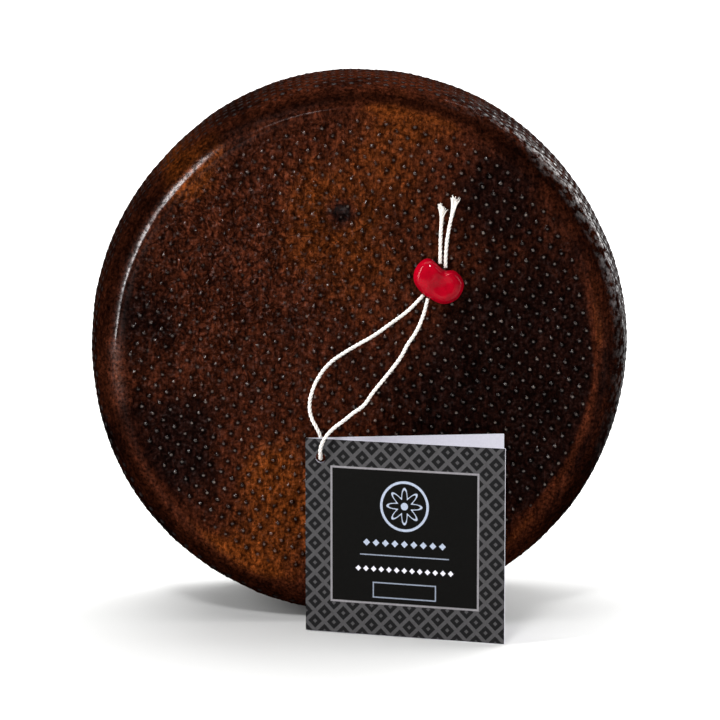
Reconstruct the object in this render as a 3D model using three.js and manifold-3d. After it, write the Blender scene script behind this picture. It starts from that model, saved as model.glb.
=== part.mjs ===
// A whole aged goat cheese that stands on its rim, with its red seal, a loop of white string
// and the small folded card that the string holds.
// Millimetres, +Z up. The wheel's axis lies along Y, its shown face looks towards -Y, and the
// origin is on the floor under the middle of the wheel.
import * as THREE from 'three';
import { mergeVertices } from 'three/addons/utils/BufferGeometryUtils.js';
import Module from 'manifold-3d';

// Wheel
const WHEEL_DIAMETER = 180;
const WHEEL_THICKNESS = 82;
const WHEEL_SEGMENTS = 80;
const RING_DIVISIONS = 4;
const FACE_SINK = 0.9;
const RIDGE_RADIUS = 78.5;
const RIDGE_SLOPE = 7;
const CREST_HALF_WIDTH = 1.2;
const CREST_RISE = 0.25;
const SHOULDER_RADIUS = 87.6;
const SHOULDER_DROP = 11;
const CORNER_INSET = 1;
const CORNER_DROP = 4;
const FLAT_HALF_WIDTH = 13;
// Each wave: times around the wheel, height, phase.
const RIM_WAVES = [[2, 0.45, 0.6], [3, 0.27, 2.1], [7, 0.18, 4]];
const FACE_WAVES = [[2, 0.4, 1.1], [5, 0.28, 2.7]];

// Seal
const SEAL_CENTRE = new THREE.Vector3(25.4, -44.8, 113.3);
const SEAL_THICKNESS = 8;
const SEAL_BACK = 0.72;
const SEAL_SIDES = 40;
const SEAL_RINGS = 12;
const SEAL_OUTLINE = [
  [-8.4, 1.2], [-6.8, 5.4], [-3.4, 7.4], [-0.7, 5.4], [1.8, 3.3], [5.0, 3.3],
  [8.1, -0.8], [6.2, -5.8], [1.6, -7.7], [-4.0, -5.2], [-7.2, -2.2],
];

// String
const STRING_DIAMETER = 1.2;
const STRING_SIDES = 8;
const LOOP_STEPS = 64;
const END_STEPS = 9;
const LOOP_ROUTE = [
  [20.4, -44.6, 108.6], [15.4, -45.0, 103.6], [8.9, -45.6, 98.8], [4.5, -46.0, 95.7],
  [-1.0, -46.4, 92.6], [-5.7, -46.8, 89.8], [-10.1, -47.3, 86.6], [-13.4, -47.8, 82.5],
  [-15.5, -48.4, 78.1], [-16.5, -49.1, 73.1], [-15.8, -49.7, 69.1], [-14.3, -50.2, 66.2],
  [-13.1, -50.5, 63.5], [-12.7, -50.5, 60.8], [-12.7, -51.0, 58.6], [-12.8, -52.4, 57.1],
  [-12.9, -54.0, 56.7], [-13.0, -55.6, 57.1], [-13.1, -57.2, 58.5], [-12.9, -58.0, 60.8],
  [-11.4, -58.0, 64.1], [-8.8, -57.2, 66.9], [-5.9, -56.5, 69.0], [-2.4, -55.6, 71.7],
  [0.9, -54.8, 74.0], [3.8, -53.6, 77.9], [7.1, -52.4, 81.8], [10.7, -51.0, 86.1],
  [13.1, -50.0, 89.3], [15.1, -49.0, 92.9], [18.0, -47.7, 97.1], [20.4, -46.0, 102.5],
  [21.8, -44.7, 107.5],
];
const LEFT_END_ROUTE = [
  [25.75, -44.6, 118.7], [25.8, -44.2, 122.6], [25.9, -43.5, 127.0], [26.2, -42.7, 132.4],
  [26.5, -42.1, 137.1],
];
const RIGHT_END_ROUTE = [
  [27.45, -44.6, 117.4], [27.6, -44.2, 122.1], [28.1, -43.5, 127.0], [29.3, -42.7, 133.2],
  [30.8, -42.1, 139.5],
];

// Folded card
const CARD_WIDTH = 67;
const CARD_HEIGHT = 63;
const CARD_THICKNESS = 0.5;
const CARD_LIFT = 0.3;
const CARD_FOLD = new THREE.Vector2(-17.6, -53.5);
const FRONT_LEAF_TURN = THREE.MathUtils.degToRad(-19.7);
const BACK_LEAF_TURN = THREE.MathUtils.degToRad(7.3);
const HOLE_RADIUS = 1.75;
const HOLE_FROM_FOLD = 4.9;
const HOLE_FROM_TOP = 6.2;
const HOLE_SIDES = 16;
const PUNCH_DEPTH = 1.6;

// Finishes
const RIND = new THREE.MeshStandardMaterial({ color: 0x39190f, roughness: 0.5 });
const SEAL_RED = new THREE.MeshStandardMaterial({ color: 0xad0920, roughness: 0.2 });
const COTTON = new THREE.MeshStandardMaterial({ color: 0xf0e9e2, roughness: 0.9 });
const CARD = new THREE.MeshStandardMaterial({ color: 0x2b2b2b, roughness: 0.6 });

const wasm = await Module();
wasm.setup();

// A geometry with shared corners and without the slivers that a pole or seam leaves behind.
function weld(geometry) {
  const bare = geometry.clone();
  bare.deleteAttribute('normal');
  bare.deleteAttribute('uv');
  const welded = mergeVertices(bare, 1e-4);
  const kept = [];
  const index = welded.index.array;
  for (let i = 0; i < index.length; i += 3) {
    const [a, b, c] = index.slice(i, i + 3);
    if (a !== b && b !== c && c !== a) {
      kept.push(a, b, c);
    }
  }
  welded.setIndex(kept);
  return welded;
}

function toSolid(geometry) {
  const welded = weld(geometry);
  const mesh = new wasm.Mesh({
    numProp: 3,
    vertProperties: new Float32Array(welded.attributes.position.array),
    triVerts: new Uint32Array(welded.index.array),
  });
  return new wasm.Manifold(mesh);
}

function toGeometry(solid) {
  const { vertProperties, triVerts } = solid.getMesh();
  const geometry = new THREE.BufferGeometry();
  geometry.setAttribute('position', new THREE.Float32BufferAttribute(vertProperties, 3));
  geometry.setIndex(Array.from(triVerts));
  return geometry;
}

function movePoints(geometry, move) {
  const position = geometry.attributes.position;
  const point = new THREE.Vector3();
  for (let i = 0; i < position.count; i += 1) {
    move(point.fromBufferAttribute(position, i));
    position.setXYZ(i, point.x, point.y, point.z);
  }
  position.needsUpdate = true;
}

function named(name, geometry, material) {
  const mesh = new THREE.Mesh(geometry, material);
  mesh.name = name;
  return mesh;
}

// Half of the wheel's section, from the middle of the shown face to the belly of the rim,
// then its mirror image: sunk face, moulded ridge, round shoulder, slightly bulged side.
function wheelProfile() {
  const front = -WHEEL_THICKNESS / 2;
  const face = front + FACE_SINK;
  const belly = WHEEL_DIAMETER / 2;
  const shoulder = front + SHOULDER_DROP;
  const half = new THREE.Path();
  half.moveTo(0, face);
  half.quadraticCurveTo(RIDGE_RADIUS / 2, face, RIDGE_RADIUS - RIDGE_SLOPE, face);
  half.quadraticCurveTo(
    RIDGE_RADIUS - RIDGE_SLOPE / 2, face, RIDGE_RADIUS - CREST_HALF_WIDTH, front + CREST_RISE,
  );
  half.quadraticCurveTo(
    RIDGE_RADIUS, front - CREST_RISE, RIDGE_RADIUS + CREST_HALF_WIDTH, front + CREST_RISE,
  );
  half.quadraticCurveTo(SHOULDER_RADIUS - CORNER_INSET, front + CORNER_DROP, SHOULDER_RADIUS, shoulder);
  half.quadraticCurveTo(belly, shoulder / 2, belly, 0);
  const points = half.getPoints(RING_DIVISIONS);
  const mirrored = points.slice(0, -1).reverse().map((p) => new THREE.Vector2(p.x, -p.y));
  return [...points, ...mirrored];
}

// The slow unevenness of a handmade wheel: the rim is a little out of round and the faces dip.
function unevenWheel(point) {
  const radius = Math.hypot(point.x, point.z);
  const turn = Math.atan2(point.x, point.z);
  const reach = Math.pow(radius / (WHEEL_DIAMETER / 2), 2);
  const side = THREE.MathUtils.clamp(point.y / (WHEEL_THICKNESS / 2), -1, 1);
  const wave = (sum, [count, height, phase]) => sum + height * Math.sin(count * turn + phase);
  const stretch = radius > 0 ? 1 + (RIM_WAVES.reduce(wave, 0) * reach) / radius : 1;
  point.x *= stretch;
  point.z *= stretch;
  point.y += FACE_WAVES.reduce(wave, 0) * reach * side;
}

// The wheel, set down on its rim and cut level where it rests.
function wheelGeometry() {
  const wheel = weld(new THREE.LatheGeometry(wheelProfile(), WHEEL_SEGMENTS));
  movePoints(wheel, unevenWheel);
  const belly = WHEEL_DIAMETER / 2;
  const flatDepth = belly - Math.sqrt(belly * belly - FLAT_HALF_WIDTH * FLAT_HALF_WIDTH);
  wheel.computeBoundingBox();
  const middle = wheel.boundingBox.getCenter(new THREE.Vector3());
  wheel.translate(-middle.x, -middle.y, -wheel.boundingBox.min.z - flatDepth);
  const floor = new THREE.BoxGeometry(WHEEL_DIAMETER, WHEEL_DIAMETER, WHEEL_DIAMETER);
  floor.translate(0, 0, -WHEEL_DIAMETER / 2);
  return toGeometry(toSolid(wheel).subtract(toSolid(floor)));
}

// A two-lobed pebble whose outline is one closed curve, with a flat back towards the wheel.
function sealGeometry() {
  const corners = SEAL_OUTLINE.map(([x, z]) => new THREE.Vector3(x, 0, z));
  const outline = new THREE.CatmullRomCurve3(corners, true);
  const pebble = weld(new THREE.SphereGeometry(1, SEAL_SIDES, SEAL_RINGS));
  movePoints(pebble, (point) => {
    const share = (Math.atan2(point.z, -point.x) / (2 * Math.PI) + 1) % 1;
    const edge = outline.getPointAt(share);
    const spread = Math.sqrt(Math.hypot(point.x, point.z));
    const depth = Math.min(point.y, SEAL_BACK) * (SEAL_THICKNESS / 2);
    point.set(edge.x * spread, depth, edge.z * spread);
  });
  return pebble.translate(SEAL_CENTRE.x, SEAL_CENTRE.y, SEAL_CENTRE.z);
}

// One plain tube of string along a route.
function stringGeometry(route, steps) {
  const section = new THREE.Shape();
  for (let i = 0; i < STRING_SIDES; i += 1) {
    const turn = (2 * Math.PI * i) / STRING_SIDES;
    const x = (STRING_DIAMETER / 2) * Math.cos(turn);
    const y = (STRING_DIAMETER / 2) * Math.sin(turn);
    if (i === 0) {
      section.moveTo(x, y);
    } else {
      section.lineTo(x, y);
    }
  }
  const path = new THREE.CatmullRomCurve3(route.map(([x, y, z]) => new THREE.Vector3(x, y, z)));
  return weld(new THREE.ExtrudeGeometry(section, { steps, extrudePath: path, bevelEnabled: false }));
}

// A short round punch across one leaf, at the leaf's share of the hole.
function leafPunch(turn) {
  const punch = new THREE.CylinderGeometry(HOLE_RADIUS, HOLE_RADIUS, PUNCH_DEPTH, HOLE_SIDES);
  punch.rotateZ(turn);
  const x = CARD_FOLD.x + HOLE_FROM_FOLD * Math.cos(turn);
  const y = CARD_FOLD.y + HOLE_FROM_FOLD * Math.sin(turn);
  return toSolid(punch.translate(x, y, CARD_LIFT + CARD_HEIGHT - HOLE_FROM_TOP));
}

// One sheet folded down its left edge and set up like an open book.
function cardGeometry() {
  const half = CARD_THICKNESS / 2;
  const quarter = Math.PI / 2;
  const opening = BACK_LEAF_TURN - FRONT_LEAF_TURN;
  const middle = (BACK_LEAF_TURN + FRONT_LEAF_TURN) / 2;
  const along = (turn, reach, side) => [
    CARD_FOLD.x + reach * Math.cos(turn) - side * half * Math.sin(turn),
    CARD_FOLD.y + reach * Math.sin(turn) + side * half * Math.cos(turn),
  ];
  const crease = half / Math.sin(opening / 2);
  const plan = new THREE.Shape();
  plan.moveTo(CARD_FOLD.x + crease * Math.cos(middle), CARD_FOLD.y + crease * Math.sin(middle));
  plan.lineTo(...along(BACK_LEAF_TURN, CARD_WIDTH, -1));
  plan.lineTo(...along(BACK_LEAF_TURN, CARD_WIDTH, 1));
  plan.absarc(
    CARD_FOLD.x, CARD_FOLD.y, half,
    BACK_LEAF_TURN + quarter, FRONT_LEAF_TURN - quarter + 2 * Math.PI, false,
  );
  plan.lineTo(...along(FRONT_LEAF_TURN, CARD_WIDTH, -1));
  plan.lineTo(...along(FRONT_LEAF_TURN, CARD_WIDTH, 1));
  plan.closePath();
  const card = new THREE.ExtrudeGeometry(plan, {
    depth: CARD_HEIGHT, bevelEnabled: false, curveSegments: 6,
  });
  card.translate(0, 0, CARD_LIFT);
  const punched = toSolid(card).subtract(leafPunch(FRONT_LEAF_TURN)).subtract(leafPunch(BACK_LEAF_TURN));
  return toGeometry(punched);
}

const cheese = new THREE.Group();
cheese.add(named('cheese_wheel', wheelGeometry(), RIND));
cheese.add(named('seal_bead', sealGeometry(), SEAL_RED));
cheese.add(named('string_loop', stringGeometry(LOOP_ROUTE, LOOP_STEPS), COTTON));
cheese.add(named('string_end_left', stringGeometry(LEFT_END_ROUTE, END_STEPS), COTTON));
cheese.add(named('string_end_right', stringGeometry(RIGHT_END_ROUTE, END_STEPS), COTTON));
cheese.add(named('tag_card', cardGeometry(), CARD));

export default cheese;
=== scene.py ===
"""A whole aged goat cheese standing on its rim, with its red seal, string and folded card.

Lengths are metres and +Z is up. The wheel's axis lies along Y and its shown face looks towards -Y.
"""

import math
from contextlib import contextmanager

import bmesh
import bpy
import numpy as np
from bpy.props import FloatProperty, FloatVectorProperty, IntProperty, PointerProperty
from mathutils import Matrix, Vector
from mathutils.bvhtree import BVHTree


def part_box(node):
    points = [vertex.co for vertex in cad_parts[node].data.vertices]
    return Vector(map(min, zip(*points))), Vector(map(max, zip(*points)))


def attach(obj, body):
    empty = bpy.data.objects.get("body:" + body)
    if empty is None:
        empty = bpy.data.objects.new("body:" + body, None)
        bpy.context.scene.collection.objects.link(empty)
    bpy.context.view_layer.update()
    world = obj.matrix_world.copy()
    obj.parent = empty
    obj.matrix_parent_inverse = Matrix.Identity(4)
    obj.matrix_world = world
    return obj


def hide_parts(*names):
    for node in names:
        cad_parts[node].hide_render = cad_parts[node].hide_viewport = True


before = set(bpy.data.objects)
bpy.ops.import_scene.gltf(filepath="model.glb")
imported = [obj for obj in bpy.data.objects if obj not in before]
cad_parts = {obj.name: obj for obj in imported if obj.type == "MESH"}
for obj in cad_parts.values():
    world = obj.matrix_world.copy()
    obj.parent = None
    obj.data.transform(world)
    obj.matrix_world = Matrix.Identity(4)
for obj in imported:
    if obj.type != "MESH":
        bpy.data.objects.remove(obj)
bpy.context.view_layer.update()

bl_info = {
    "name": "Aged goat cheese",
    "version": (1, 0, 0),
    "blender": (4, 5, 0),
    "location": "View3D > Sidebar > Cheese",
    "description": "Dresses a whole aged goat cheese with rind, seal, string and card",
    "category": "Object",
}

# Places read from the frame
WHEEL_LOW, WHEEL_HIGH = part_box("cheese_wheel")
WHEEL_RADIUS = (WHEEL_HIGH.x - WHEEL_LOW.x) / 2
AXIS_HEIGHT = WHEEL_HIGH.z - WHEEL_RADIUS
SEAL_LOW, SEAL_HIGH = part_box("seal_bead")
SEAL_MIDDLE = (SEAL_LOW + SEAL_HIGH) / 2
CARD_LOW, CARD_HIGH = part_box("tag_card")
WHEEL_MIDDLE = (0.0, 0.0, AXIS_HEIGHT)

# The string's routes, as the frame's own solids follow them
LOOP_ROUTE = [
    (0.0204, -0.0446, 0.1086), (0.0154, -0.0450, 0.1036), (0.0089, -0.0456, 0.0988),
    (0.0045, -0.0460, 0.0957), (-0.0010, -0.0464, 0.0926), (-0.0057, -0.0468, 0.0898),
    (-0.0101, -0.0473, 0.0866), (-0.0134, -0.0478, 0.0825), (-0.0155, -0.0484, 0.0781),
    (-0.0165, -0.0491, 0.0731), (-0.0158, -0.0497, 0.0691), (-0.0143, -0.0502, 0.0662),
    (-0.0131, -0.0505, 0.0635), (-0.0127, -0.0505, 0.0608), (-0.0127, -0.0510, 0.0586),
    (-0.0128, -0.0524, 0.0571), (-0.0129, -0.0540, 0.0567), (-0.0130, -0.0556, 0.0571),
    (-0.0131, -0.0572, 0.0585), (-0.0129, -0.0580, 0.0608), (-0.0114, -0.0580, 0.0641),
    (-0.0088, -0.0572, 0.0669), (-0.0059, -0.0565, 0.0690), (-0.0024, -0.0556, 0.0717),
    (0.0009, -0.0548, 0.0740), (0.0038, -0.0536, 0.0779), (0.0071, -0.0524, 0.0818),
    (0.0107, -0.0510, 0.0861), (0.0131, -0.0500, 0.0893), (0.0151, -0.0490, 0.0929),
    (0.0180, -0.0477, 0.0971), (0.0204, -0.0460, 0.1025), (0.0218, -0.0447, 0.1075),
]
LEFT_END_ROUTE = [
    (0.02575, -0.0446, 0.1187), (0.0258, -0.0442, 0.1226), (0.0259, -0.0435, 0.1270),
    (0.0262, -0.0427, 0.1324), (0.0265, -0.0421, 0.1371),
]
RIGHT_END_ROUTE = [
    (0.02745, -0.0446, 0.1174), (0.0276, -0.0442, 0.1221), (0.0281, -0.0435, 0.1270),
    (0.0293, -0.0427, 0.1332), (0.0308, -0.0421, 0.1395),
]

# Stains of the rind: x, height, reach, strength. Warm ones are worn amber, dark ones nearly black,
# and those of the shoulder are amber too and lie outside the ridge.
WARM_STAINS = [
    (0.006, 0.150, 0.024, 0.42), (-0.012, 0.126, 0.020, 0.44), (-0.031, 0.050, 0.013, 0.80),
    (-0.021, 0.035, 0.014, 0.70), (-0.038, 0.019, 0.014, 0.75), (-0.057, 0.149, 0.010, 0.55),
    (0.030, 0.160, 0.012, 0.30), (-0.050, 0.100, 0.014, 0.12), (0.004, 0.104, 0.016, 0.22),
    (0.012, 0.170, 0.010, 0.45), (-0.018, 0.142, 0.008, 0.30),
]
DARK_STAINS = [
    (0.058, 0.088, 0.030, 0.55), (0.040, 0.146, 0.016, 0.40), (0.030, 0.070, 0.018, 0.35),
    (-0.060, 0.054, 0.020, 0.45), (-0.070, 0.100, 0.016, 0.25), (0.062, 0.050, 0.018, 0.50),
]
SHOULDER_STAINS = [(-0.0575, 0.149, 0.0080, 0.90), (-0.048, 0.157, 0.0050, 0.50)]

# Middle and reach of the part of the face where the nubs are least regular, and the scar's middle
UNRULY_PLACE = (-0.042, AXIS_HEIGHT + 0.030)
UNRULY_REACH = 0.042
SCAR_PLACE = (-0.0061, 0.1346)

# Profiles of a nub from its foot up to its tip: radius and height as shares of its own
ROUND_NUB = [(1.06, -0.55), (0.80, 0.40), (0.40, 0.85)]
PLAIN_NUB = [(1.08, -0.50), (0.62, 0.66)]

# Where nubs stop: inside the ridge, to either side of the rim's middle and above the floor
NUB_MARGIN = 0.0036
RIM_NUBS_REACH = 0.034
BARE_FOOT = 0.003

# A distance from the axis that is well outside the wheel
FAR_OUT = 0.2

# Radii of the painted shade in the groove outside the ridge, and where the rim's nubs and its glaze
# start and are full
GROOVE_SHADE_RADIUS = 0.0822
RIM_START = 0.0855
RIM_FULL = 0.0868
GLAZE_START = 0.0815
GLAZE_FULL = 0.0845

# Heights on the card's printed side, from its lower edge
EMBLEM_HEIGHT = 0.0425
PALE_ROW_HEIGHT = 0.0302
RULE_HEIGHT = 0.0262
WHITE_ROW_HEIGHT = 0.0216
PLAQUE_HEIGHT = 0.0148

# Studio lights: name, place, what it faces, width and height, watts
SOFTBOXES = [
    ("top_softbox", (-0.2, 0.25, 1.25), WHEEL_MIDDLE, (1.6, 1.3), 22.0),
    ("left_strip", (-0.95, -0.50, 0.45), WHEEL_MIDDLE, (0.16, 0.85), 14.0),
    ("right_softbox", (1.0, 0.25, 0.5), WHEEL_MIDDLE, (0.8, 0.9), 11.0),
    ("right_back_softbox", (0.75, 0.9, 0.55), WHEEL_MIDDLE, (0.5, 0.9), 16.0),
    ("front_key", (-0.25, -1.1, 1.0), WHEEL_MIDDLE, (0.2, 0.2), 11.0),
    ("backdrop_wash", (0.0, 1.2, 1.8), (0.0, 2.6, 0.1), (2.5, 0.6), 115.0),
]


def length_setting(name, description, default):
    """A size in metres that a user can change."""
    return FloatProperty(name=name, description=description, default=default, unit="LENGTH")


def colour_setting(name, description, default):
    """A colour that a user can change."""
    return FloatVectorProperty(name=name, description=description, default=default, subtype="COLOR")


class RindSettings(bpy.types.PropertyGroup):
    """Sizes and colours of the wheel's rind."""

    ridge_radius: length_setting("Ridge radius", "Radius of the moulded ridge round each face", 0.0785)
    nub_spacing: length_setting("Nub spacing", "Distance between neighbouring nubs", 0.00415)
    nub_radius: length_setting("Nub radius", "Radius of a nub where it meets the face", 0.00098)
    nub_height: length_setting("Nub height", "Height of a nub above the face", 0.00034)
    row_tilt: FloatProperty(
        name="Row tilt", description="Slope of the nubs' rows across the face",
        default=math.radians(-33), subtype="ANGLE")
    rim_columns: IntProperty(
        name="Rim columns", description="Nubs in one row round the rim", default=96)
    swell: length_setting("Swell", "Height of the slow unevenness of the rind", 0.0006)
    strays: IntProperty(
        name="Strays", description="Tries at small extra nubs where the face is least regular",
        default=420)
    scar_reach: length_setting("Scar reach", "Radius of the star-shaped scar on the shown face", 0.0036)
    scar_depth: length_setting("Scar depth", "Depth of the star-shaped scar", 0.0011)
    seed: IntProperty(name="Seed", description="Start of the nubs' random sizes", default=7)
    deep: colour_setting("Deep brown", "Nearly black parts of the rind", (0.0078, 0.0024, 0.0017))
    brown: colour_setting("Brown", "Main colour of the rind", (0.039, 0.0090, 0.0038))
    amber: colour_setting("Amber", "Worn, lighter parts of the rind", (0.098, 0.0225, 0.0042))
    # Painted highlight: this pale colour on the nubs' tips stands in for the glint of light on them.
    tip: colour_setting("Tip", "Pale tips of the nubs", (0.23, 0.18, 0.15))


class SealSettings(bpy.types.PropertyGroup):
    """Sizes and colour of the seal."""

    dimple: length_setting("Dimple", "Depth of the press mark in the seal's middle", 0.0009)
    dimple_reach: length_setting("Dimple reach", "How far the press mark spreads", 0.0042)
    red: colour_setting("Red", "Colour of the seal", (0.31, 0.0006, 0.0085))


class StringSettings(bpy.types.PropertyGroup):
    """Sizes and colour of the string."""

    thickness: length_setting("Thickness", "Diameter of the string", 0.0012)
    pitch: length_setting("Twist", "Length of one full twist of the plies", 0.0042)
    fray_length: length_setting("Fray length", "Length of the loose fibres at a cut end", 0.0065)
    fray_spread: length_setting("Fray spread", "How far the loose fibres splay at the tip", 0.0015)
    wisps: IntProperty(name="Wisps", description="Tufts that the fibres gather in", default=6)
    fibres: IntProperty(name="Fibres", description="Loose fibres at each cut end", default=34)
    seed: IntProperty(name="Seed", description="Start of the fibres' random splay", default=11)
    white: colour_setting("White", "Colour of the cotton", (0.86, 0.81, 0.76))


class CardSettings(bpy.types.PropertyGroup):
    """Sizes and colours of the folded card."""

    width: length_setting("Width", "Width of one leaf", 0.067)
    height: length_setting("Height", "Height of the card", CARD_HIGH.z - CARD_LOW.z)
    thickness: length_setting("Thickness", "Thickness of the card", 0.0005)
    fold: FloatVectorProperty(
        name="Fold", description="Place of the fold on the floor",
        default=(-0.0176, -0.0535), size=2, unit="LENGTH")
    back_trim: length_setting(
        "Back trim", "How much narrower the back leaf is than the front leaf", 0.0022)
    front_turn: FloatProperty(
        name="Front turn", description="Direction of the front leaf",
        default=math.radians(-19.7), subtype="ANGLE")
    back_turn: FloatProperty(
        name="Back turn", description="Direction of the back leaf",
        default=math.radians(7.3), subtype="ANGLE")
    hole_radius: length_setting("Hole radius", "Radius of the punched hole", 0.00175)
    hole_inset: FloatVectorProperty(
        name="Hole inset", description="Hole's distance from the fold and from the top edge",
        default=(0.0049, 0.0062), size=2, unit="LENGTH")
    diamond_step: length_setting("Diamond step", "Distance between diamonds in one row", 0.0064)
    border: length_setting("Border", "Width of the printed border", 0.0088)
    foot: length_setting("Foot", "Width of the border's lower side", 0.0104)
    ink: colour_setting("Ink", "Dark printed field", (0.0041, 0.0040, 0.0037))
    grey: colour_setting("Grey", "Printed border", (0.058, 0.056, 0.058))
    black: colour_setting("Black", "Diamonds of the border", (0.004, 0.004, 0.0042))
    pale_grey: colour_setting("Pale grey", "Line round the dark field", (0.20, 0.19, 0.20))
    silver: colour_setting("Silver", "Emblem and fine lines", (0.33, 0.37, 0.46))
    paper: colour_setting("Paper", "Unprinted inside of the card", (0.60, 0.59, 0.66))


class StageSettings(bpy.types.PropertyGroup):
    """Camera, floor and fill light."""

    eye: FloatVectorProperty(
        name="Eye", description="Where the camera stands",
        default=(-0.0107, -1.105, 0.2276), size=3, subtype="TRANSLATION")
    aim: FloatVectorProperty(
        name="Aim", description="What the camera looks at",
        default=(0.0, -0.03, 0.0855), size=3, subtype="TRANSLATION")
    lens: FloatProperty(name="Lens", description="Focal length in millimetres", default=165.0)
    floor: colour_setting("Floor", "Colour of floor and backdrop", (0.53, 0.53, 0.526))
    daylight: FloatProperty(
        name="Fill", description="Brightness of the even light all round", default=0.10)


def select_only(piece):
    bpy.ops.object.select_all(action="DESELECT")
    piece.select_set(True)
    bpy.context.view_layer.objects.active = piece


@contextmanager
def editing(piece):
    """Edit mode on one piece, with nothing selected in it to begin with."""
    select_only(piece)
    bpy.ops.object.mode_set(mode="EDIT")
    bpy.ops.mesh.select_mode(type="VERT")
    bpy.ops.mesh.select_all(action="DESELECT")
    try:
        yield
    finally:
        bpy.ops.object.mode_set(mode="OBJECT")


def pick(piece, wanted):
    """Selects the points of the piece in edit mode whose place the test accepts."""
    shape = bmesh.from_edit_mesh(piece.data)
    for point in shape.verts:
        point.select = wanted(point.co)
    shape.select_flush_mode()
    bmesh.update_edit_mesh(piece.data)


def pick_edges(piece, wanted):
    """Selects the edges of the piece in edit mode whose two ends the test accepts."""
    bpy.ops.mesh.select_mode(type="EDGE")
    shape = bmesh.from_edit_mesh(piece.data)
    for edge in shape.edges:
        edge.select = wanted(edge.verts[0].co, edge.verts[1].co)
    shape.select_flush_mode()
    bmesh.update_edit_mesh(piece.data)


def off_axis(place):
    """Distance from the wheel's axis."""
    return math.hypot(place.x, place.z - AXIS_HEIGHT)


def finish_modifier(piece, kind, **settings):
    """Adds a modifier with its settings and applies it."""
    select_only(piece)
    modifier = piece.modifiers.new(kind.lower(), kind)
    for name, value in settings.items():
        setattr(modifier, name, value)
    bpy.ops.object.modifier_apply(modifier=modifier.name)


def cut_or_join(piece, tool, operation):
    """One Boolean between two closed meshes; the tool is then removed."""
    finish_modifier(piece, "BOOLEAN", operation=operation, solver="MANIFOLD", object=tool)
    bpy.data.objects.remove(tool)


def new_piece(name, mesh):
    piece = bpy.data.objects.new(name, mesh)
    bpy.context.scene.collection.objects.link(piece)
    return piece


def copy_of_node(node, name):
    """A new piece with the node's own shape, its triangles joined up and paired into quads."""
    piece = new_piece(name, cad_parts[node].data.copy())
    piece.data.materials.clear()
    with editing(piece):
        bpy.ops.mesh.select_all(action="SELECT")
        bpy.ops.mesh.remove_doubles(threshold=1e-6)
        bpy.ops.mesh.tris_convert_to_quads(
            face_threshold=math.radians(25), shape_threshold=math.radians(60))
    return piece


def mesh_from_arrays(name, points, faces):
    mesh = bpy.data.meshes.new(name)
    mesh.from_pydata(points.reshape(-1, 3).tolist(), [], faces)
    return mesh


def settle(piece, finish, slot, *nodes):
    """Gives a finished piece its material and its body, and hides the nodes that it stands for."""
    if finish is not None:
        piece.data.materials.clear()
        piece.data.materials.append(finish)
    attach(piece, "root")
    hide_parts(*nodes)


class Shade:
    """A number that varies over a surface and can be used like any other number."""

    def __init__(self, finish, socket):
        self.finish = finish
        self.socket = socket

    def math(self, operation, *others):
        return self.finish.node("ShaderNodeMath", {"operation": operation}, [self, *others])

    def after(self, operation, first):
        return self.finish.node("ShaderNodeMath", {"operation": operation}, [first, self])

    def __add__(self, other):
        return self.math("ADD", other)

    def __radd__(self, other):
        return self.after("ADD", other)

    def __sub__(self, other):
        return self.math("SUBTRACT", other)

    def __rsub__(self, other):
        return self.after("SUBTRACT", other)

    def __mul__(self, other):
        return self.math("MULTIPLY", other)

    def __rmul__(self, other):
        return self.after("MULTIPLY", other)

    def __truediv__(self, other):
        return self.math("DIVIDE", other)

    def __neg__(self):
        return self.math("MULTIPLY", -1.0)

    def __abs__(self):
        return self.math("ABSOLUTE")

    def root(self):
        return self.math("SQRT")

    def exp(self):
        return self.math("EXPONENT")

    def off_whole(self):
        """Distance to the nearest whole number, with its sign."""
        return self - self.math("ROUND")

    def lower(self, other):
        return self.math("MINIMUM", other)

    def higher(self, other):
        return self.math("MAXIMUM", other)

    def fade(self, start, end, low=0.0, high=1.0):
        """Runs smoothly from low to high as the value goes from start to end."""
        return self.finish.node(
            "ShaderNodeMapRange", {"interpolation_type": "SMOOTHSTEP"},
            {"Value": self, "From Min": start, "From Max": end, "To Min": low, "To Max": high})


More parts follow.
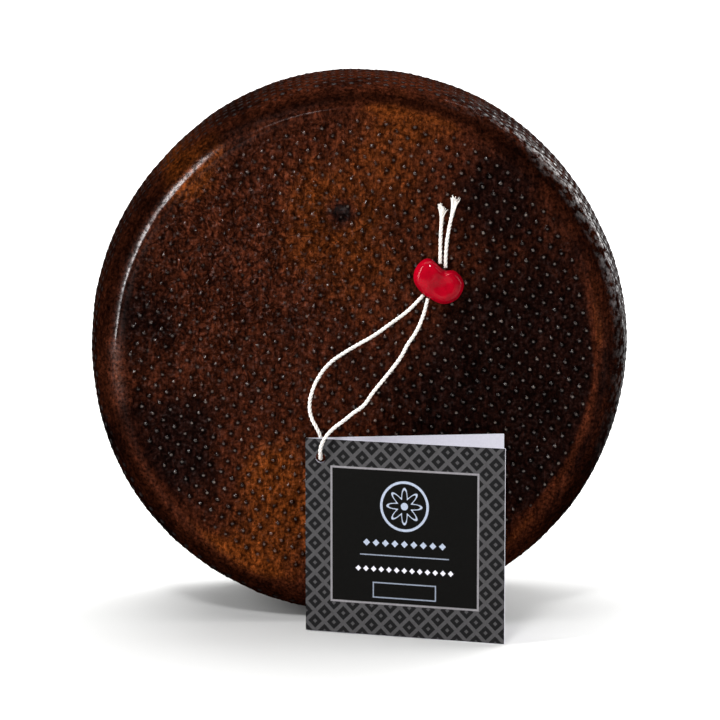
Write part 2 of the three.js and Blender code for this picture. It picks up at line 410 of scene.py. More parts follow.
class Finish:
    """One material and the few steps that its nodes are built with."""

    def __init__(self, name):
        self.material = bpy.data.materials.new(name)
        self.material.use_nodes = True
        self.tree = self.material.node_tree
        self.shader = self.tree.nodes["Principled BSDF"]

    def node(self, kind, settings, inputs, output=0):
        made = self.tree.nodes.new(kind)
        for name, value in settings.items():
            setattr(made, name, value)
        pairs = inputs.items() if isinstance(inputs, dict) else enumerate(inputs)
        for key, value in pairs:
            if isinstance(value, Shade):
                self.tree.links.new(value.socket, made.inputs[key])
            else:
                made.inputs[key].default_value = value
        return Shade(self, made.outputs[output])

    def place(self):
        return self.node("ShaderNodeTexCoord", {}, {}, "Object")

    def flat_place(self):
        return self.node("ShaderNodeUVMap", {}, {})

    def axes(self, vector):
        parts = self.node("ShaderNodeSeparateXYZ", {}, [vector]).socket.node
        return [Shade(self, socket) for socket in parts.outputs]

    def drawn_out(self, vector, lean, squeeze):
        """The place turned about Y and squeezed along Z, which draws a noise out along Z."""
        return self.node("ShaderNodeMapping", {}, {
            "Vector": vector, "Rotation": (0.0, lean, 0.0), "Scale": (1.0, 1.0, squeeze)})

    def noise(self, vector, size, detail=3.0, rough=0.55, twist=0.0):
        """Even noise from 0 to 1 whose features are about size across."""
        return self.node("ShaderNodeTexNoise", {}, {
            "Vector": vector, "Scale": 1.0 / size, "Detail": detail, "Roughness": rough,
            "Distortion": twist})

    def cells(self, vector, size):
        """Distance to the nearest of many scattered points, as a share of size."""
        return self.node("ShaderNodeTexVoronoi", {}, {"Vector": vector, "Scale": 1.0 / size})

    def blend(self, share, first, second, kind="MIX"):
        """Mixes two colours; each is a colour or a Shade."""
        first, second = (c if isinstance(c, Shade) else (*c, 1.0) for c in (first, second))
        factor, start, end, result = 0, 6, 7, 2
        return self.node(
            "ShaderNodeMix", {"data_type": "RGBA", "blend_type": kind},
            {factor: share, start: first, end: second}, result)

    def tinted(self, colour, level):
        """A colour times a level that varies."""
        grey = self.node("ShaderNodeCombineColor", {}, [level, level, level])
        return self.blend(1.0, colour, grey, "MULTIPLY")

    def bump(self, height, depth, under=None):
        inputs = {"Strength": 1.0, "Distance": depth, "Height": height}
        if under is not None:
            inputs["Normal"] = under
        return self.node("ShaderNodeBump", {}, inputs)

    def done(self, **sockets):
        """Sets the shader's sockets, whose names are given with _ for a space."""
        for name, value in sockets.items():
            socket = self.shader.inputs[name.replace("_", " ")]
            if isinstance(value, Shade):
                self.tree.links.new(value.socket, socket)
            else:
                socket.default_value = value
        return self.material


def nub_distance(first, second, spacing):
    """Distance to the nearest nub of a square lattice, whose nubs lie at whole first and second."""
    across = first.off_whole()
    along = second.off_whole()
    return (across * across + along * along).root() * spacing


def bell(value, middle, reach):
    """1 at the middle, falling off smoothly to both sides."""
    off = (value - middle) / reach
    return (-(off * off)).exp()


def round_patch(x, z, place, reach):
    """1 at a place on the face, falling off smoothly all round."""
    aside = (x - place[0]) / reach
    above = (z - place[1]) / reach
    return (-(aside * aside + above * above)).exp()


def stain_sum(x, z, stains):
    """The sum of soft round stains."""
    total = 0.0
    for stain_x, stain_z, reach, strength in stains:
        total = round_patch(x, z, (stain_x, stain_z), reach) * strength + total
    return total


class RindMaps:
    """Noises, zones and nub distances that the rind's finish is mixed from."""

    def __init__(self, finish, settings):
        self.place = finish.place()
        self.x, self.y, self.z = finish.axes(self.place)
        self.up = self.z - AXIS_HEIGHT
        self.radius = (self.x * self.x + self.up * self.up).root()
        self.turn = self.x.math("ARCTAN2", self.up)
        self.add_noises(finish)
        self.add_zones(settings)
        self.add_nubs(settings)

    def add_noises(self, finish):
        """Unevenness of the rind, from broad clouds to fine grain."""
        place = self.place
        self.cloud = finish.noise(place, 0.034, 4.0, 0.6, 0.4)
        self.patch = finish.noise(place, 0.009, 3.0, 0.6)
        self.mottle = finish.noise(place, 0.0024, 3.0, 0.6)
        self.grain = finish.noise(place, 0.0011, 4.0, 0.65)
        strands = finish.drawn_out(place, math.radians(-24), 0.22)
        self.fibre = finish.noise(strands, 0.0008, 3.0, 0.6)
        runs = finish.drawn_out(place, math.radians(-9), 0.16)
        self.streak = finish.noise(runs, 0.0034, 4.0, 0.65)
        self.pores = finish.cells(place, 0.0017).fade(0.15, 0.5)
        crease = finish.noise(place, 0.0034, 3.0, 0.6, 0.7)
        self.crinkle = abs(crease - 0.5).fade(0.0, 0.085)
        self.wobble = (finish.noise(place, 0.0016, 2.0) - 0.5) * 0.0006

    def add_zones(self, settings):
        """1 in a part of the rind and 0 elsewhere, with soft edges."""
        radius = self.radius
        ridge = settings.ridge_radius
        aside = self.x / radius
        above = self.up / radius
        self.left = (-aside).fade(0.15, 0.6)
        self.right = aside.fade(0.55, 0.85)
        self.low = (-above).fade(0.0, 0.6)
        self.upper = above.fade(-0.3, -0.05, 0.1, 1.0)
        self.in_front = self.y.fade(-0.012, 0.012, 1.0, 0.0)
        self.face = radius.fade(ridge - 0.004, ridge - 0.002, 1.0, 0.0)
        self.rim = radius.fade(RIM_START, RIM_FULL)
        self.inside = radius.fade(ridge - 0.001, ridge + 0.004, 1.0, 0.25)
        self.outside = radius.fade(ridge + 0.001, ridge + 0.006)
        self.ridge = bell(radius, ridge + 0.0006, 0.0019)
        # Painted shade: a dark band in the groove outside the ridge, on the upper part only.
        self.groove_shade = bell(radius, GROOVE_SHADE_RADIUS, 0.0022) * above.fade(-0.1, 0.5)
        strip = bell(radius, ridge - 0.0012, 0.0019) * self.right * self.in_front
        self.strip = strip * above.fade(0.05, 0.4, 1.0, 0.0)
        glaze = self.turn.fade(0.2, 0.8) * self.turn.fade(1.4, 2.1, 1.0, 0.0)
        glaze = glaze * radius.fade(GLAZE_START, GLAZE_FULL)
        self.glaze = glaze * self.y.fade(-0.032, -0.010, 1.0, 0.12)
        self.unruly = round_patch(self.x, self.z, UNRULY_PLACE, UNRULY_REACH)
        self.scar = round_patch(self.x, self.z, SCAR_PLACE, settings.scar_reach) * self.in_front

    def add_nubs(self, settings):
        """Distances to the nearest nub on a face and on the rim, and the dark pigment round both."""
        spacing = settings.nub_spacing
        c = math.cos(settings.row_tilt)
        s = math.sin(settings.row_tilt)
        first = (self.x * c + self.up * s) / spacing
        second = (self.up * c - self.x * s) / spacing
        column = self.turn * (settings.rim_columns / math.tau)
        row = self.y / rim_row_height(settings)
        self.face_nub = nub_distance(first, second, spacing) + self.wobble
        self.rim_nub = nub_distance(column + row * 0.5, column - row * 0.5, spacing) + self.wobble
        on_face = self.face_nub.fade(0.0006, 0.0018, 1.0, 0.0) * self.face
        self.pigment = on_face + self.rim_nub.fade(0.0006, 0.0017, 1.0, 0.0) * self.rim


def rind_warmth(maps):
    """How worn and amber the rind is; well below 0 it is nearly black."""
    facing = maps.x * (maps.in_front * 2.0 - 1.0)
    stains = stain_sum(facing, maps.z, WARM_STAINS) - stain_sum(facing, maps.z, DARK_STAINS)
    warmth = stains * maps.inside + stain_sum(maps.x, maps.z, SHOULDER_STAINS) * maps.in_front
    warmth = warmth + (maps.cloud - 0.5) * 0.8 + (maps.patch - 0.5) * 0.5 - maps.rim * 0.12
    warmth = warmth + maps.ridge * maps.cloud.fade(0.45, 0.62) * 0.3 + maps.strip * 0.55
    return warmth - maps.scar * 1.5


def rind_colour(finish, maps, settings):
    """Brown that runs to nearly black and to amber, darker round the nubs; painted shade outside the
    ridge.
    """
    warmth = rind_warmth(maps)
    colour = finish.blend(warmth.fade(-0.35, 0.12), settings.deep, settings.brown)
    colour = finish.blend(warmth.fade(0.12, 0.85), colour, settings.amber)
    # Painted shade outside the ridge: less at the top, more at the left, the bottom and the right.
    shade = (0.25 + maps.left * 0.35 + maps.low * 0.25 + maps.right * 0.35).lower(0.75)
    pigment = maps.pigment * maps.patch.fade(0.3, 0.65, 0.4, 0.8) * (1.0 - maps.unruly * 0.6)
    level = maps.grain.fade(0.28, 0.72, 0.25, 1.8) * maps.fibre.fade(0.28, 0.72, 0.6, 1.4)
    level = level * (1.0 - (1.0 - maps.crinkle) * (0.35 + maps.unruly * 0.35))
    # Painted shade: darker in the groove above the face and outside the ridge.
    level = level * (1.0 - maps.groove_shade * 0.6) * (1.0 - maps.outside * shade)
    level = level * maps.streak.fade(0.3, 0.7, 0.62, 1.4) * (1.0 - pigment)
    # Painted highlight: each nub's tip is mixed towards the pale tip colour, standing in for its glint.
    tip = maps.face_nub.fade(0.0001, 0.00055, 1.0, 0.0) * maps.face
    tip = tip * maps.patch.fade(0.3, 0.65, 0.52, 0.1) * (1.0 - maps.unruly * 0.75)
    tip = tip * (1.0 - warmth.fade(0.0, 0.5) * 0.6)
    return finish.blend(tip, finish.tinted(colour, level), settings.tip)


def rind_wax(maps):
    """How much clear wax shows: on the nubs' tips, the ridge, the right shoulder and fine grains."""
    face_tips = maps.face_nub.fade(0.0002, 0.0007, 1.0, 0.0) * maps.face
    rim_tips = maps.rim_nub.fade(0.0004, 0.0012, 1.0, 0.0) * maps.rim
    polish = maps.ridge * maps.patch.fade(0.3, 0.6, 0.3, 0.95) * maps.grain.fade(0.36, 0.58, 0.12, 0.7)
    wax = maps.face * 0.008 + face_tips * (0.8 - maps.unruly * 0.4) + maps.scar * 0.12
    wax = wax + polish * (0.12 + maps.left * 0.88) * maps.upper + rim_tips * (0.08 + maps.glaze * 0.2)
    wax = wax + maps.glaze * maps.mottle.fade(0.42, 0.64) * maps.grain.fade(0.38, 0.6, 0.25, 0.7) * 0.5
    wax = wax + (0.15 + maps.unruly * 0.5) * maps.grain.fade(0.52, 0.7) * maps.face
    return wax.lower(1.0)


def rind_finish(settings):
    """Waxed brown rind: dark pigment round the nubs, warm and dark stains, fine fibrous grain."""
    finish = Finish("waxed_rind")
    maps = RindMaps(finish, settings)
    relief = (maps.fibre * 0.5 + maps.grain + maps.crinkle * 0.8) * (1.0 + maps.unruly * 1.2)
    relief = finish.bump(maps.pores, 0.00008, finish.bump(relief, 0.00016))
    return finish.done(
        Base_Color=rind_colour(finish, maps, settings), Roughness=0.42 + (maps.grain - 0.5) * 0.3,
        Normal=relief, IOR=1.46, Specular_IOR_Level=0.0, Coat_Weight=rind_wax(maps),
        Coat_Roughness=0.16)


def seal_finish(settings):
    """Glossy pressed red, a little deeper in patches."""
    finish = Finish("glossy_red")
    place = finish.place()
    shade = finish.noise(place, 0.004, 3.0)
    ripple = finish.noise(place, 0.0016, 2.0)
    scuff = finish.noise(place, 0.0005, 3.0)
    colour = finish.tinted(settings.red, shade.fade(0.3, 0.7, 0.78, 1.06))
    return finish.done(
        Base_Color=colour, Roughness=scuff.fade(0.35, 0.75, 0.16, 0.3),
        Normal=finish.bump(ripple, 0.00006), IOR=1.5, Specular_IOR_Level=0.0, Coat_Weight=0.2,
        Coat_Roughness=0.05)


def cotton_finish(settings):
    """White cotton with fine fibres."""
    finish = Finish("twisted_cotton")
    place = finish.place()
    fluff = finish.noise(place, 0.0003, 3.0)
    shade = finish.noise(place, 0.0022, 2.0)
    colour = finish.tinted(settings.white, shade.fade(0.25, 0.75, 0.86, 1.04))
    return finish.done(
        Base_Color=colour, Roughness=0.9, Normal=finish.bump(fluff, 0.00006), Sheen_Weight=0.3)


def paper_finish(settings):
    """Plain unprinted paper."""
    finish = Finish("plain_paper")
    place = finish.place()
    fleck = finish.noise(place, 0.0006, 4.0)
    colour = finish.tinted(settings.paper, fleck.fade(0.2, 0.8, 0.94, 1.03))
    return finish.done(
        Base_Color=colour, Roughness=0.75, Normal=finish.bump(fleck, 0.00002))


def inked(distance, soft=0.00007):
    """1 inside a printed shape and 0 outside, from the distance to its edge."""
    return distance.fade(-soft, soft, 1.0, 0.0)


def frame_distance(across, up, middle, half):
    """Distance to a box's edge, negative inside."""
    return (abs(across - middle[0]) - half[0]).higher(abs(up - middle[1]) - half[1])


def lozenge_row(aside, above, pitch, half_length):
    """A row of small printed lozenges along a line."""
    across = abs((aside / pitch).off_whole()) * pitch
    edge = (across + abs(above) - 0.36 * pitch).higher(abs(aside) - half_length)
    return inked(edge)


def print_finish(settings):
    """Printed side of the card: grey border with small diamonds, dark field, and on the front leaf
    a plain round emblem, two rows of lozenges, a rule and an empty plaque."""
    finish = Finish("printed_card")
    u, v, _ = finish.axes(finish.flat_place())
    across = (u - 0.5) * (2 * settings.width)
    up = v * settings.height
    front = across.fade(0.0, 0.0001)
    out = abs(across)

    centre = settings.width / 2
    middle = (centre, (settings.height + settings.foot - settings.border) / 2)
    half = (centre - settings.border, (settings.height - settings.foot - settings.border) / 2)
    panel = frame_distance(out, up, middle, half)
    first = ((out + up) / settings.diamond_step).off_whole()
    second = ((out - up) / settings.diamond_step).off_whole()
    diamond = abs(first).higher(abs(second))
    heart = inked(diamond - 0.11, 0.02)
    pattern = inked(diamond - 0.37, 0.02) * (1.0 - heart)
    colour = finish.blend(pattern * 0.9, settings.grey, settings.black)
    colour = finish.blend(inked(panel), colour, settings.ink)
    colour = finish.blend(inked(abs(panel) - 0.00032), colour, settings.pale_grey)

    aside = out - centre
    above = up - EMBLEM_HEIGHT
    reach = (aside * aside + above * above).root()
    petal = 0.0042 + (aside.math("ARCTAN2", above) * 8.0).math("COSINE") * 0.0015
    ring = inked(abs(reach - 0.0078) - 0.0004)
    petals = inked(abs(reach - petal) - 0.0004)
    eye = inked(reach - 0.0012)
    emblem = (ring + petals + eye).lower(1.0)
    rule = inked(frame_distance(out, up, (centre, RULE_HEIGHT), (0.0150, 0.00018)))
    plaque = inked(abs(frame_distance(out, up, (centre, PLAQUE_HEIGHT), (0.0105, 0.0024))) - 0.0002)
    pale_row = lozenge_row(aside, up - PALE_ROW_HEIGHT, 0.0032, 0.0144)
    white_row = lozenge_row(aside, up - WHITE_ROW_HEIGHT, 0.0026, 0.0169)
    dull_silver = tuple(0.62 * c for c in settings.silver)
    colour = finish.blend((emblem + pale_row).lower(1.0) * front, colour, settings.silver)
    colour = finish.blend((rule + plaque).lower(1.0) * front, colour, dull_silver)
    colour = finish.blend(white_row * front, colour, settings.paper)

    fleck = finish.noise(finish.place(), 0.0005, 3.0)
    colour = finish.tinted(colour, fleck.fade(0.2, 0.8, 0.85, 1.15))
    rough = 0.52 + (fleck - 0.5) * 0.2 - emblem * front * 0.15
    return finish.done(
        Base_Color=colour, Roughness=rough, Normal=finish.bump(fleck, 0.000015), IOR=1.45,
        Specular_IOR_Level=0.02)


def stage_finish(name, colour):
    finish = Finish(name)
    return finish.done(Base_Color=(*colour, 1.0), Roughness=0.85)


def rim_row_height(settings):
    """Half of the step between columns, which makes the rim's staggered rows a square lattice."""
    return math.pi * WHEEL_RADIUS / settings.rim_columns


def unruly(x, z):
    """How irregular the nubs are: 1 at the upper left of the face, 0 far from it."""
    return math.exp(-(math.dist((x, z), UNRULY_PLACE) / UNRULY_REACH) ** 2)


def face_nubs(settings, surface, side, draw):
    """Place, normal, radius and height of each nub on one face; side is -1 in front and 1 behind."""
    reach = settings.ridge_radius - NUB_MARGIN
    count = math.ceil(reach / settings.nub_spacing) + 1
    c = math.cos(settings.row_tilt)
    s = math.sin(settings.row_tilt)
    found = []
    for i in range(-count, count + 1):
        for j in range(-count, count + 1):
            p = i * settings.nub_spacing
            q = j * settings.nub_spacing
            x = p * c - q * s
            z = AXIS_HEIGHT + p * s + q * c
            loose = unruly(x, z)
            sway = draw.normal(0.0, 0.00012 + 0.00060 * loose, 2)
            size = draw.uniform(0.86, 1.14) * (1.0 - 0.35 * loose)
            rise = draw.uniform(0.7, 1.25) * (1.0 - 0.30 * loose)
            x += sway[0]
            z += sway[1]
            if math.hypot(x, z - AXIS_HEIGHT) > reach:
                continue
            if side < 0 and math.dist((x, z), SCAR_PLACE) < settings.scar_reach:
                continue
            spot, normal, _, _ = surface.ray_cast(Vector((x, side * FAR_OUT, z)), Vector((0, -side, 0)))
            found.append((spot, normal, settings.nub_radius * size, settings.nub_height * rise))
    return found


def stray_nubs(settings, surface, neighbours, draw):
    """Small extra nubs between the others where the shown face is least regular."""
    reach = settings.ridge_radius - NUB_MARGIN
    taken = [(n[0].x, n[0].z, n[2]) for n in neighbours]
    found = []
    for _ in range(settings.strays):
        x, z = UNRULY_PLACE + draw.normal(0.0, 0.6 * UNRULY_REACH, 2)
        radius = settings.nub_radius * draw.uniform(0.35, 0.65)
        crowded = any(math.hypot(x - a, z - b) < 1.15 * (radius + c) for a, b, c in taken)
        scarred = math.dist((x, z), SCAR_PLACE) < settings.scar_reach + radius
        if crowded or scarred or math.hypot(x, z - AXIS_HEIGHT) > reach:
            continue
        taken.append((x, z, radius))
        spot, normal, _, _ = surface.ray_cast(Vector((x, -FAR_OUT, z)), Vector((0, 1, 0)))
        found.append((spot, normal, radius, settings.nub_height * draw.uniform(0.4, 0.9)))
    return found


def rim_nubs(settings, surface, draw):
    """Place, normal, radius and height of each nub round the rim, in staggered rows."""
    row_height = rim_row_height(settings)
    rows = int(RIM_NUBS_REACH / row_height)
    found = []
    for row in range(-rows, rows + 1):
        for column in range(settings.rim_columns):
            turn = math.tau * (column + (row % 2) / 2) / settings.rim_columns
            turn += draw.normal(0.0, 0.0016)
            y = row * row_height + draw.normal(0.0, 0.00012)
            out = Vector((math.sin(turn), 0.0, math.cos(turn)))
            start = Vector((0.0, y, AXIS_HEIGHT)) + out * FAR_OUT
            spot, normal, _, _ = surface.ray_cast(start, -out)
            size = draw.uniform(0.72, 0.98)
            rise = draw.uniform(0.3, 0.55)
            if spot.z > BARE_FOOT:
                found.append((spot, normal, settings.nub_radius * size, settings.nub_height * rise))
    return found


def tube_faces(sides, rings, first=0):
    """Faces that join each ring of points to the next one."""
    lows = range(first, first + (rings - 1) * sides, sides)
    pairs = [(k, (k + 1) % sides) for k in range(sides)]
    return [(low + k, low + n, low + sides + n, low + sides + k) for low in lows for k, n in pairs]


def nub_shape(sides, profile):
    """One closed nub of unit radius and height that reaches a little below its foot."""
    turns = np.arange(sides) * math.tau / sides
    ring = np.column_stack((np.cos(turns), np.sin(turns), np.ones(sides)))
    rings = [ring * (radius, radius, height) for radius, height in profile]
    points = np.vstack([*rings, [(0.0, 0.0, 1.0)]])
    faces = [tuple(range(sides - 1, -1, -1)), *tube_faces(sides, len(profile))]
    last = (len(profile) - 1) * sides
    faces += [(last + k, last + (k + 1) % sides, len(points) - 1) for k in range(sides)]
    return points, faces


def nub_mesh(name, nubs, sides, profile):
    """All the nubs of one region as a single mesh."""
    shape, faces = nub_shape(sides, profile)
    spots = np.array([n[0] for n in nubs])
    normals = np.array([n[1] for n in nubs])
    radii = np.array([n[2] for n in nubs])[:, None, None]
    heights = np.array([n[3] for n in nubs])[:, None, None]
    steep = np.abs(normals[:, 2:]) < 0.8
    aside = np.cross(normals, np.where(steep, (0.0, 0.0, 1.0), (1.0, 0.0, 0.0)))
    aside /= np.linalg.norm(aside, axis=1, keepdims=True)
    beside = np.cross(normals, aside)
    points = spots[:, None, :] + radii * (
        shape[None, :, 0:1] * aside[:, None, :] + shape[None, :, 1:2] * beside[:, None, :])
    points = points + heights * shape[None, :, 2:3] * normals[:, None, :]
    steps = range(0, len(nubs) * len(shape), len(shape))
    all_faces = [tuple(k + step for k in face) for step in steps for face in faces]
    return mesh_from_arrays(name, points, all_faces)


def scar_cutter(settings, surface):
    """A shallow star-shaped cone that points into the shown face."""
    x, z = SCAR_PLACE
    spot, _, _, _ = surface.ray_cast(Vector((x, -FAR_OUT, z)), Vector((0, 1, 0)))
    proud = 0.0004
    notch = 0.42
    points = 5
    depth = settings.scar_depth + proud
    bpy.ops.object.select_all(action="DESELECT")
    bpy.ops.mesh.primitive_cone_add(
        vertices=2 * points, radius1=settings.scar_reach, depth=depth,
        rotation=(-math.pi / 2, 0.0, 0.0), location=(x, spot.y - proud + depth / 2, z))
    star = bpy.context.object
    with editing(star):
        pick(star, lambda place: place.z < 0 and round(
            math.atan2(place.y, place.x) * points / math.pi) % 2 == 1)
        bpy.ops.transform.resize(value=(notch, 1, notch), center_override=star.location)
    return star


class CHEESE_OT_add_wheel(bpy.types.Operator):
    """Makes the wheel: the frame's own shape, slow swells, nubs over faces and rim, one scar"""

    bl_idname = "cheese.add_wheel"
    bl_label = "Wheel"

    def execute(self, context):
        settings = context.scene.cheese_rind
        wheel = copy_of_node("cheese_wheel", "wheel_with_rind")
        with editing(wheel):
            long_spoke = 0.010
            pick_edges(wheel, lambda a, b: abs(off_axis(a) - off_axis(b)) > long_spoke)
            bpy.ops.mesh.subdivide(number_cuts=3)
        finish_modifier(wheel, "SUBSURF", levels=1, render_levels=1)
        swell = bpy.data.textures.new("rind_swell", "CLOUDS")
        swell.noise_scale = 0.011
        finish_modifier(wheel, "DISPLACE", texture=swell, strength=settings.swell, mid_level=0.5)
        with editing(wheel):
            rest_height = 0.0004
            pick(wheel, lambda place: place.z < rest_height)
            bpy.ops.transform.resize(value=(1, 1, 0), center_override=(0, 0, 0))
        surface = BVHTree.FromObject(wheel, context.evaluated_depsgraph_get())
        draw = np.random.default_rng(settings.seed)
        front = face_nubs(settings, surface, -1, draw)
        back = face_nubs(settings, surface, 1, draw)
        crumbs = stray_nubs(settings, surface, front, draw)
        rim = rim_nubs(settings, surface, draw)
        for name, nubs, sides, profile in (
                ("front_nubs", front, 7, ROUND_NUB), ("back_nubs", back, 6, PLAIN_NUB),
                ("stray_nubs", crumbs, 5, PLAIN_NUB), ("rim_nubs", rim, 5, PLAIN_NUB)):
            cut_or_join(wheel, new_piece(name, nub_mesh(name, nubs, sides, profile)), "UNION")
        cut_or_join(wheel, scar_cutter(settings, surface), "DIFFERENCE")
        select_only(wheel)
        bpy.ops.object.shade_smooth_by_angle(angle=math.radians(42))
        settle(wheel, rind_finish(settings), "rind", "cheese_wheel")
        return {"FINISHED"}


class CHEESE_OT_add_seal(bpy.types.Operator):
    """Makes the red seal, smooth, pressed in the middle"""

    bl_idname = "cheese.add_seal"
    bl_label = "Seal"

    def execute(self, context):
        settings = context.scene.cheese_seal
        seal = copy_of_node("seal_bead", "red_seal")
        finish_modifier(seal, "SUBSURF", levels=2, render_levels=2)
        with editing(seal):
            pressed = Vector((SEAL_MIDDLE.x + 0.0012, SEAL_LOW.y, SEAL_MIDDLE.z - 0.0004))
            thumb = 0.0009
            pick(seal, lambda place: (place - pressed).length < thumb)
            bpy.ops.transform.translate(
                value=(0, settings.dimple, 0), use_proportional_edit=True,
                proportional_edit_falloff="SMOOTH", proportional_size=settings.dimple_reach)
        select_only(seal)
        bpy.ops.object.shade_smooth()
        settle(seal, seal_finish(settings), "seal", "seal_bead")
        return {"FINISHED"}


def ply_profile(thickness):
    """The string's section: three plies side by side, as a closed outline."""
    outline = bpy.data.curves.new("ply_outline", "CURVE")
    outline.dimensions = "2D"
    spline = outline.splines.new("POLY")
    count = 24
    spline.points.add(count - 1)
    spline.use_cyclic_u = True
    for k, point in enumerate(spline.points):
        turn = math.tau * k / count
        reach = thickness / 2 * (0.60 + 0.44 * abs(math.cos(1.5 * turn)))
        point.co = (reach * math.cos(turn), reach * math.sin(turn), 0.0, 1.0)
    return new_piece("ply_outline", outline)


def twisted_string(name, route, settings):
    """A string of three twisted plies along a route, as a mesh."""
    line = bpy.data.curves.new(name, "CURVE")
    line.dimensions = "3D"
    line.resolution_u = 16
    line.use_fill_caps = True
    spline = line.splines.new("BEZIER")
    spline.bezier_points.add(len(route) - 1)
    spline.tilt_interpolation = "LINEAR"
    run = 0.0
    for k, place in enumerate(route):
        run += math.dist(route[k - 1], place) if k else 0.0
        point = spline.bezier_points[k]
        point.co = place
        point.handle_left_type = "AUTO"
        point.handle_right_type = "AUTO"
        point.tilt = math.tau * run / settings.pitch
    outline = ply_profile(settings.thickness)
    line.bevel_mode = "OBJECT"
    line.bevel_object = outline
    piece = new_piece(name, line)
    select_only(piece)
    bpy.ops.object.convert(target="MESH")
    bpy.data.objects.remove(outline)
    with editing(piece):
        bpy.ops.mesh.select_all(action="SELECT")
        bpy.ops.mesh.remove_doubles(threshold=1e-6)
        bpy.ops.mesh.normals_make_consistent(inside=False)
    return piece


def frayed_fibres(name, route, settings, draw):
    """Loose fibres that splay out of a string's cut end, as a single mesh."""
    tip = np.array(route[-1])
    along = tip - np.array(route[-2])
    along /= np.linalg.norm(along)
    aside = np.cross(along, (0.0, 1.0, 0.0))
    aside /= np.linalg.norm(aside)
    beside = np.cross(aside, along)
    sides = 4
    shares = np.linspace(0.0, 1.0, 7)
    turns = np.arange(sides) * math.tau / sides
    points = []
    faces = []
    wisps = settings.wisps
    wisp_turn = draw.uniform(0.0, math.tau, wisps)
    wisp_spread = draw.uniform(0.15, 1.0, wisps)
    wisp_length = draw.uniform(0.75, 1.15, wisps)
    for fibre in range(settings.fibres):
        wisp = fibre % wisps
        turn = wisp_turn[wisp] + draw.normal(0.0, 0.3)
        start = math.sqrt(draw.uniform(0.02, 1.0)) * settings.thickness * 0.42
        spread = start + wisp_spread[wisp] * draw.uniform(0.7, 1.1) * settings.fray_spread
        length = settings.fray_length * wisp_length[wisp] * draw.uniform(0.9, 1.08)
        thick = draw.uniform(0.00009, 0.00016)
        sway = draw.normal(0.0, 0.00018, 2)
        base = len(points)
        for share in shares:
            out = start + (spread - start) * share ** 2.6
            middle = tip + along * (length * share - 0.93 * settings.fray_length)
            middle = middle + aside * (out * math.cos(turn) + sway[0] * share)
            middle = middle + beside * (0.62 * out * math.sin(turn) + sway[1] * share)
            for angle in turns:
                points.append(middle + thick * (aside * math.cos(angle) + beside * math.sin(angle)))
        faces += tube_faces(sides, len(shares), base)
        faces.append(tuple(base + k for k in reversed(range(sides))))
        faces.append(tuple(base + (len(shares) - 1) * sides + k for k in range(sides)))
    piece = new_piece(name, mesh_from_arrays(name, np.array(points), faces))
    with editing(piece):
        bpy.ops.mesh.select_all(action="SELECT")
        bpy.ops.mesh.normals_make_consistent(inside=False)
    return piece


class CHEESE_OT_add_string(bpy.types.Operator):
    """Makes the loop of twisted string and its two frayed ends"""

    bl_idname = "cheese.add_string"
    bl_label = "String"

    def execute(self, context):
        settings = context.scene.cheese_string
        cotton = cotton_finish(settings)
        draw = np.random.default_rng(settings.seed)
        loop = twisted_string("string_of_loop", LOOP_ROUTE, settings)
        select_only(loop)
        bpy.ops.object.shade_smooth()
        settle(loop, cotton, "string", "string_loop")
        for name, route, node in (
                ("frayed_end_left", LEFT_END_ROUTE, "string_end_left"),
                ("frayed_end_right", RIGHT_END_ROUTE, "string_end_right")):
            end = twisted_string(name, route, settings)
            fray = frayed_fibres(name + "_fibres", route, settings, draw)
            select_only(end)
            fray.select_set(True)
            bpy.ops.object.join()
            bpy.ops.object.shade_smooth()
            settle(end, cotton, "string", node)
        return {"FINISHED"}


def leaf_hole(settings, turn):
    """A short round punch across one leaf where its hole is."""
    along, below = settings.hole_inset
    place = (
        settings.fold[0] + along * math.cos(turn), settings.fold[1] + along * math.sin(turn),
        CARD_HIGH.z - below)
    bpy.ops.mesh.primitive_cylinder_add(
        vertices=32, radius=settings.hole_radius, depth=0.0016, location=place,
        rotation=(math.pi / 2, 0.0, turn))
    return bpy.context.object


class CHEESE_OT_add_card(bpy.types.Operator):
    """Makes the folded card with its punched hole, printed outside and plain inside"""

    bl_idname = "cheese.add_card"
    bl_label = "Card"

    def execute(self, context):
        settings = context.scene.cheese_card
        bpy.ops.object.select_all(action="DESELECT")
        bpy.ops.mesh.primitive_plane_add(size=1, rotation=(math.pi / 2, 0.0, 0.0))
        card = context.object
        card.name = "folded_card"
        card.scale = (2 * settings.width, settings.height, 1.0)
        bpy.ops.object.transform_apply(location=False, rotation=True, scale=True)
        with editing(card):
            bpy.ops.mesh.select_all(action="SELECT")
            bpy.ops.mesh.subdivide(number_cuts=7)
            pick(card, lambda place: place.x < -settings.width + 1e-5)
            bpy.ops.transform.translate(value=(settings.back_trim, 0, 0))
            pick(card, lambda place: place.x > 1e-5)
            bpy.ops.transform.rotate(
                value=-settings.front_turn, orient_axis="Z", center_override=(0, 0, 0))
            pick(card, lambda place: place.x < -1e-5)
            bpy.ops.transform.rotate(
                value=math.pi - settings.back_turn, orient_axis="Z", center_override=(0, 0, 0))
        card.location = (*settings.fold, CARD_LOW.z + settings.height / 2)
        bpy.ops.object.transform_apply(location=True, rotation=False, scale=False)
        card.data.materials.append(print_finish(settings))
        card.data.materials.append(paper_finish(settings))
        finish_modifier(
            card, "SOLIDIFY", thickness=settings.thickness, offset=0.0, material_offset=1,
            material_offset_rim=1)
        for turn in (settings.front_turn, settings.back_turn):
            cut_or_join(card, leaf_hole(settings, turn), "DIFFERENCE")
        select_only(card)
        bpy.ops.object.shade_smooth_by_angle(angle=math.radians(30))
        settle(card, None, "card", "tag_card")
        return {"FINISHED"}


def softbox(name, place, aim, size, power):
    """A square-edged studio light that faces its aim."""
    bpy.ops.object.light_add(type="AREA", location=place)
    lamp = bpy.context.object
    lamp.name = name
    lamp.rotation_euler = (Vector(aim) - Vector(place)).to_track_quat("-Z", "Y").to_euler()
    lamp.data.shape = "RECTANGLE"
    lamp.data.size = size[0]
    lamp.data.size_y = size[1]
    lamp.data.energy = power


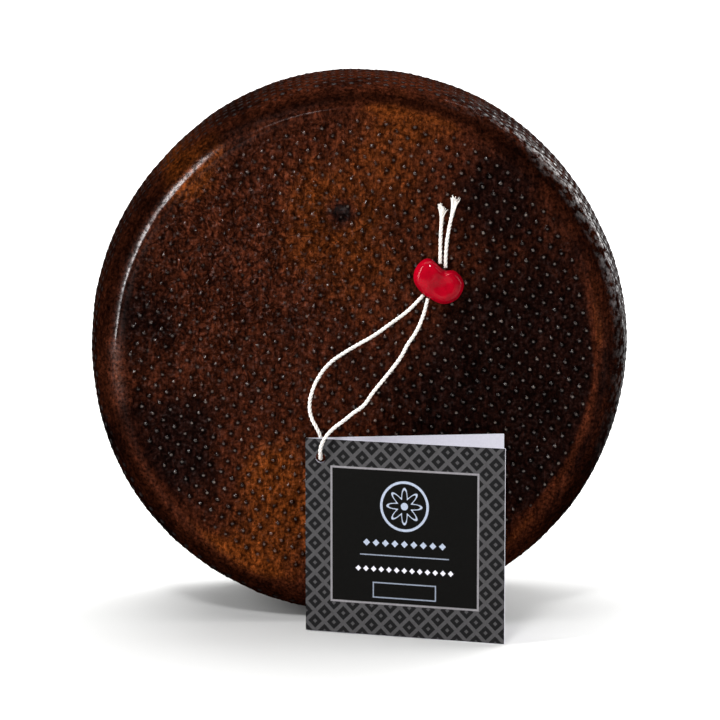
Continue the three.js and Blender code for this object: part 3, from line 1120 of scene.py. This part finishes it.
class CHEESE_OT_set_stage(bpy.types.Operator):
    """Sets up camera, pale floor with a curved backdrop, and soft studio lights"""

    bl_idname = "cheese.set_stage"
    bl_label = "Stage"

    def execute(self, context):
        settings = context.scene.cheese_stage
        eye = Vector(settings.eye)
        aim = Vector(settings.aim)
        bpy.ops.object.camera_add(location=eye)
        camera = context.object
        camera.rotation_euler = (aim - eye).to_track_quat("-Z", "Y").to_euler()
        camera.data.lens = settings.lens
        camera.data.clip_start = 0.01
        context.scene.camera = camera

        bpy.ops.object.select_all(action="DESELECT")
        side = 6.0
        back = side / 2 - 0.1
        bpy.ops.mesh.primitive_plane_add(size=side, location=(0, 0, 0))
        floor = context.object
        floor.name = "pale_floor"
        with editing(floor):
            pick(floor, lambda place: place.y > back)
            bpy.ops.mesh.extrude_region_move(TRANSFORM_OT_translate={"value": (0, 0, 4)})
            pick(floor, lambda place: place.y > back and place.z < 0.1)
            bpy.ops.mesh.bevel(offset=1.5, segments=16)
        bpy.ops.object.shade_smooth()
        floor.data.materials.append(stage_finish("pale_paper", settings.floor))

        for light in SOFTBOXES:
            softbox(*light)
        world = bpy.data.worlds.new("even_daylight")
        world.use_nodes = True
        sky = world.node_tree.nodes["Background"]
        sky.inputs["Strength"].default_value = settings.daylight
        sky.inputs["Color"].default_value = (1.0, 1.0, 1.0, 1.0)
        context.scene.world = world
        context.scene.view_settings.view_transform = "Standard"
        return {"FINISHED"}


class CHEESE_PT_pieces(bpy.types.Panel):
    """Lists the pieces of the cheese in the order in which they are made"""

    bl_idname = "CHEESE_PT_pieces"
    bl_label = "Aged goat cheese"
    bl_space_type = "VIEW_3D"
    bl_region_type = "UI"
    bl_category = "Cheese"

    def draw(self, context):
        for operator in STEPS:
            self.layout.operator(operator.bl_idname)


STEPS = (
    CHEESE_OT_set_stage, CHEESE_OT_add_string, CHEESE_OT_add_wheel, CHEESE_OT_add_seal,
    CHEESE_OT_add_card,
)
GROUPS = {
    "cheese_rind": RindSettings, "cheese_seal": SealSettings, "cheese_string": StringSettings,
    "cheese_card": CardSettings, "cheese_stage": StageSettings,
}
CLASSES = (*GROUPS.values(), *STEPS, CHEESE_PT_pieces)


def register():
    for item in CLASSES:
        bpy.utils.register_class(item)
    for name, group in GROUPS.items():
        setattr(bpy.types.Scene, name, PointerProperty(type=group))


def unregister():
    for name in GROUPS:
        delattr(bpy.types.Scene, name)
    for item in reversed(CLASSES):
        bpy.utils.unregister_class(item)


def main():
    register()
    bpy.ops.cheese.set_stage()
    bpy.ops.cheese.add_string()
    bpy.ops.cheese.add_wheel()
    bpy.ops.cheese.add_seal()
    bpy.ops.cheese.add_card()


if __name__ == "__main__":
    main()
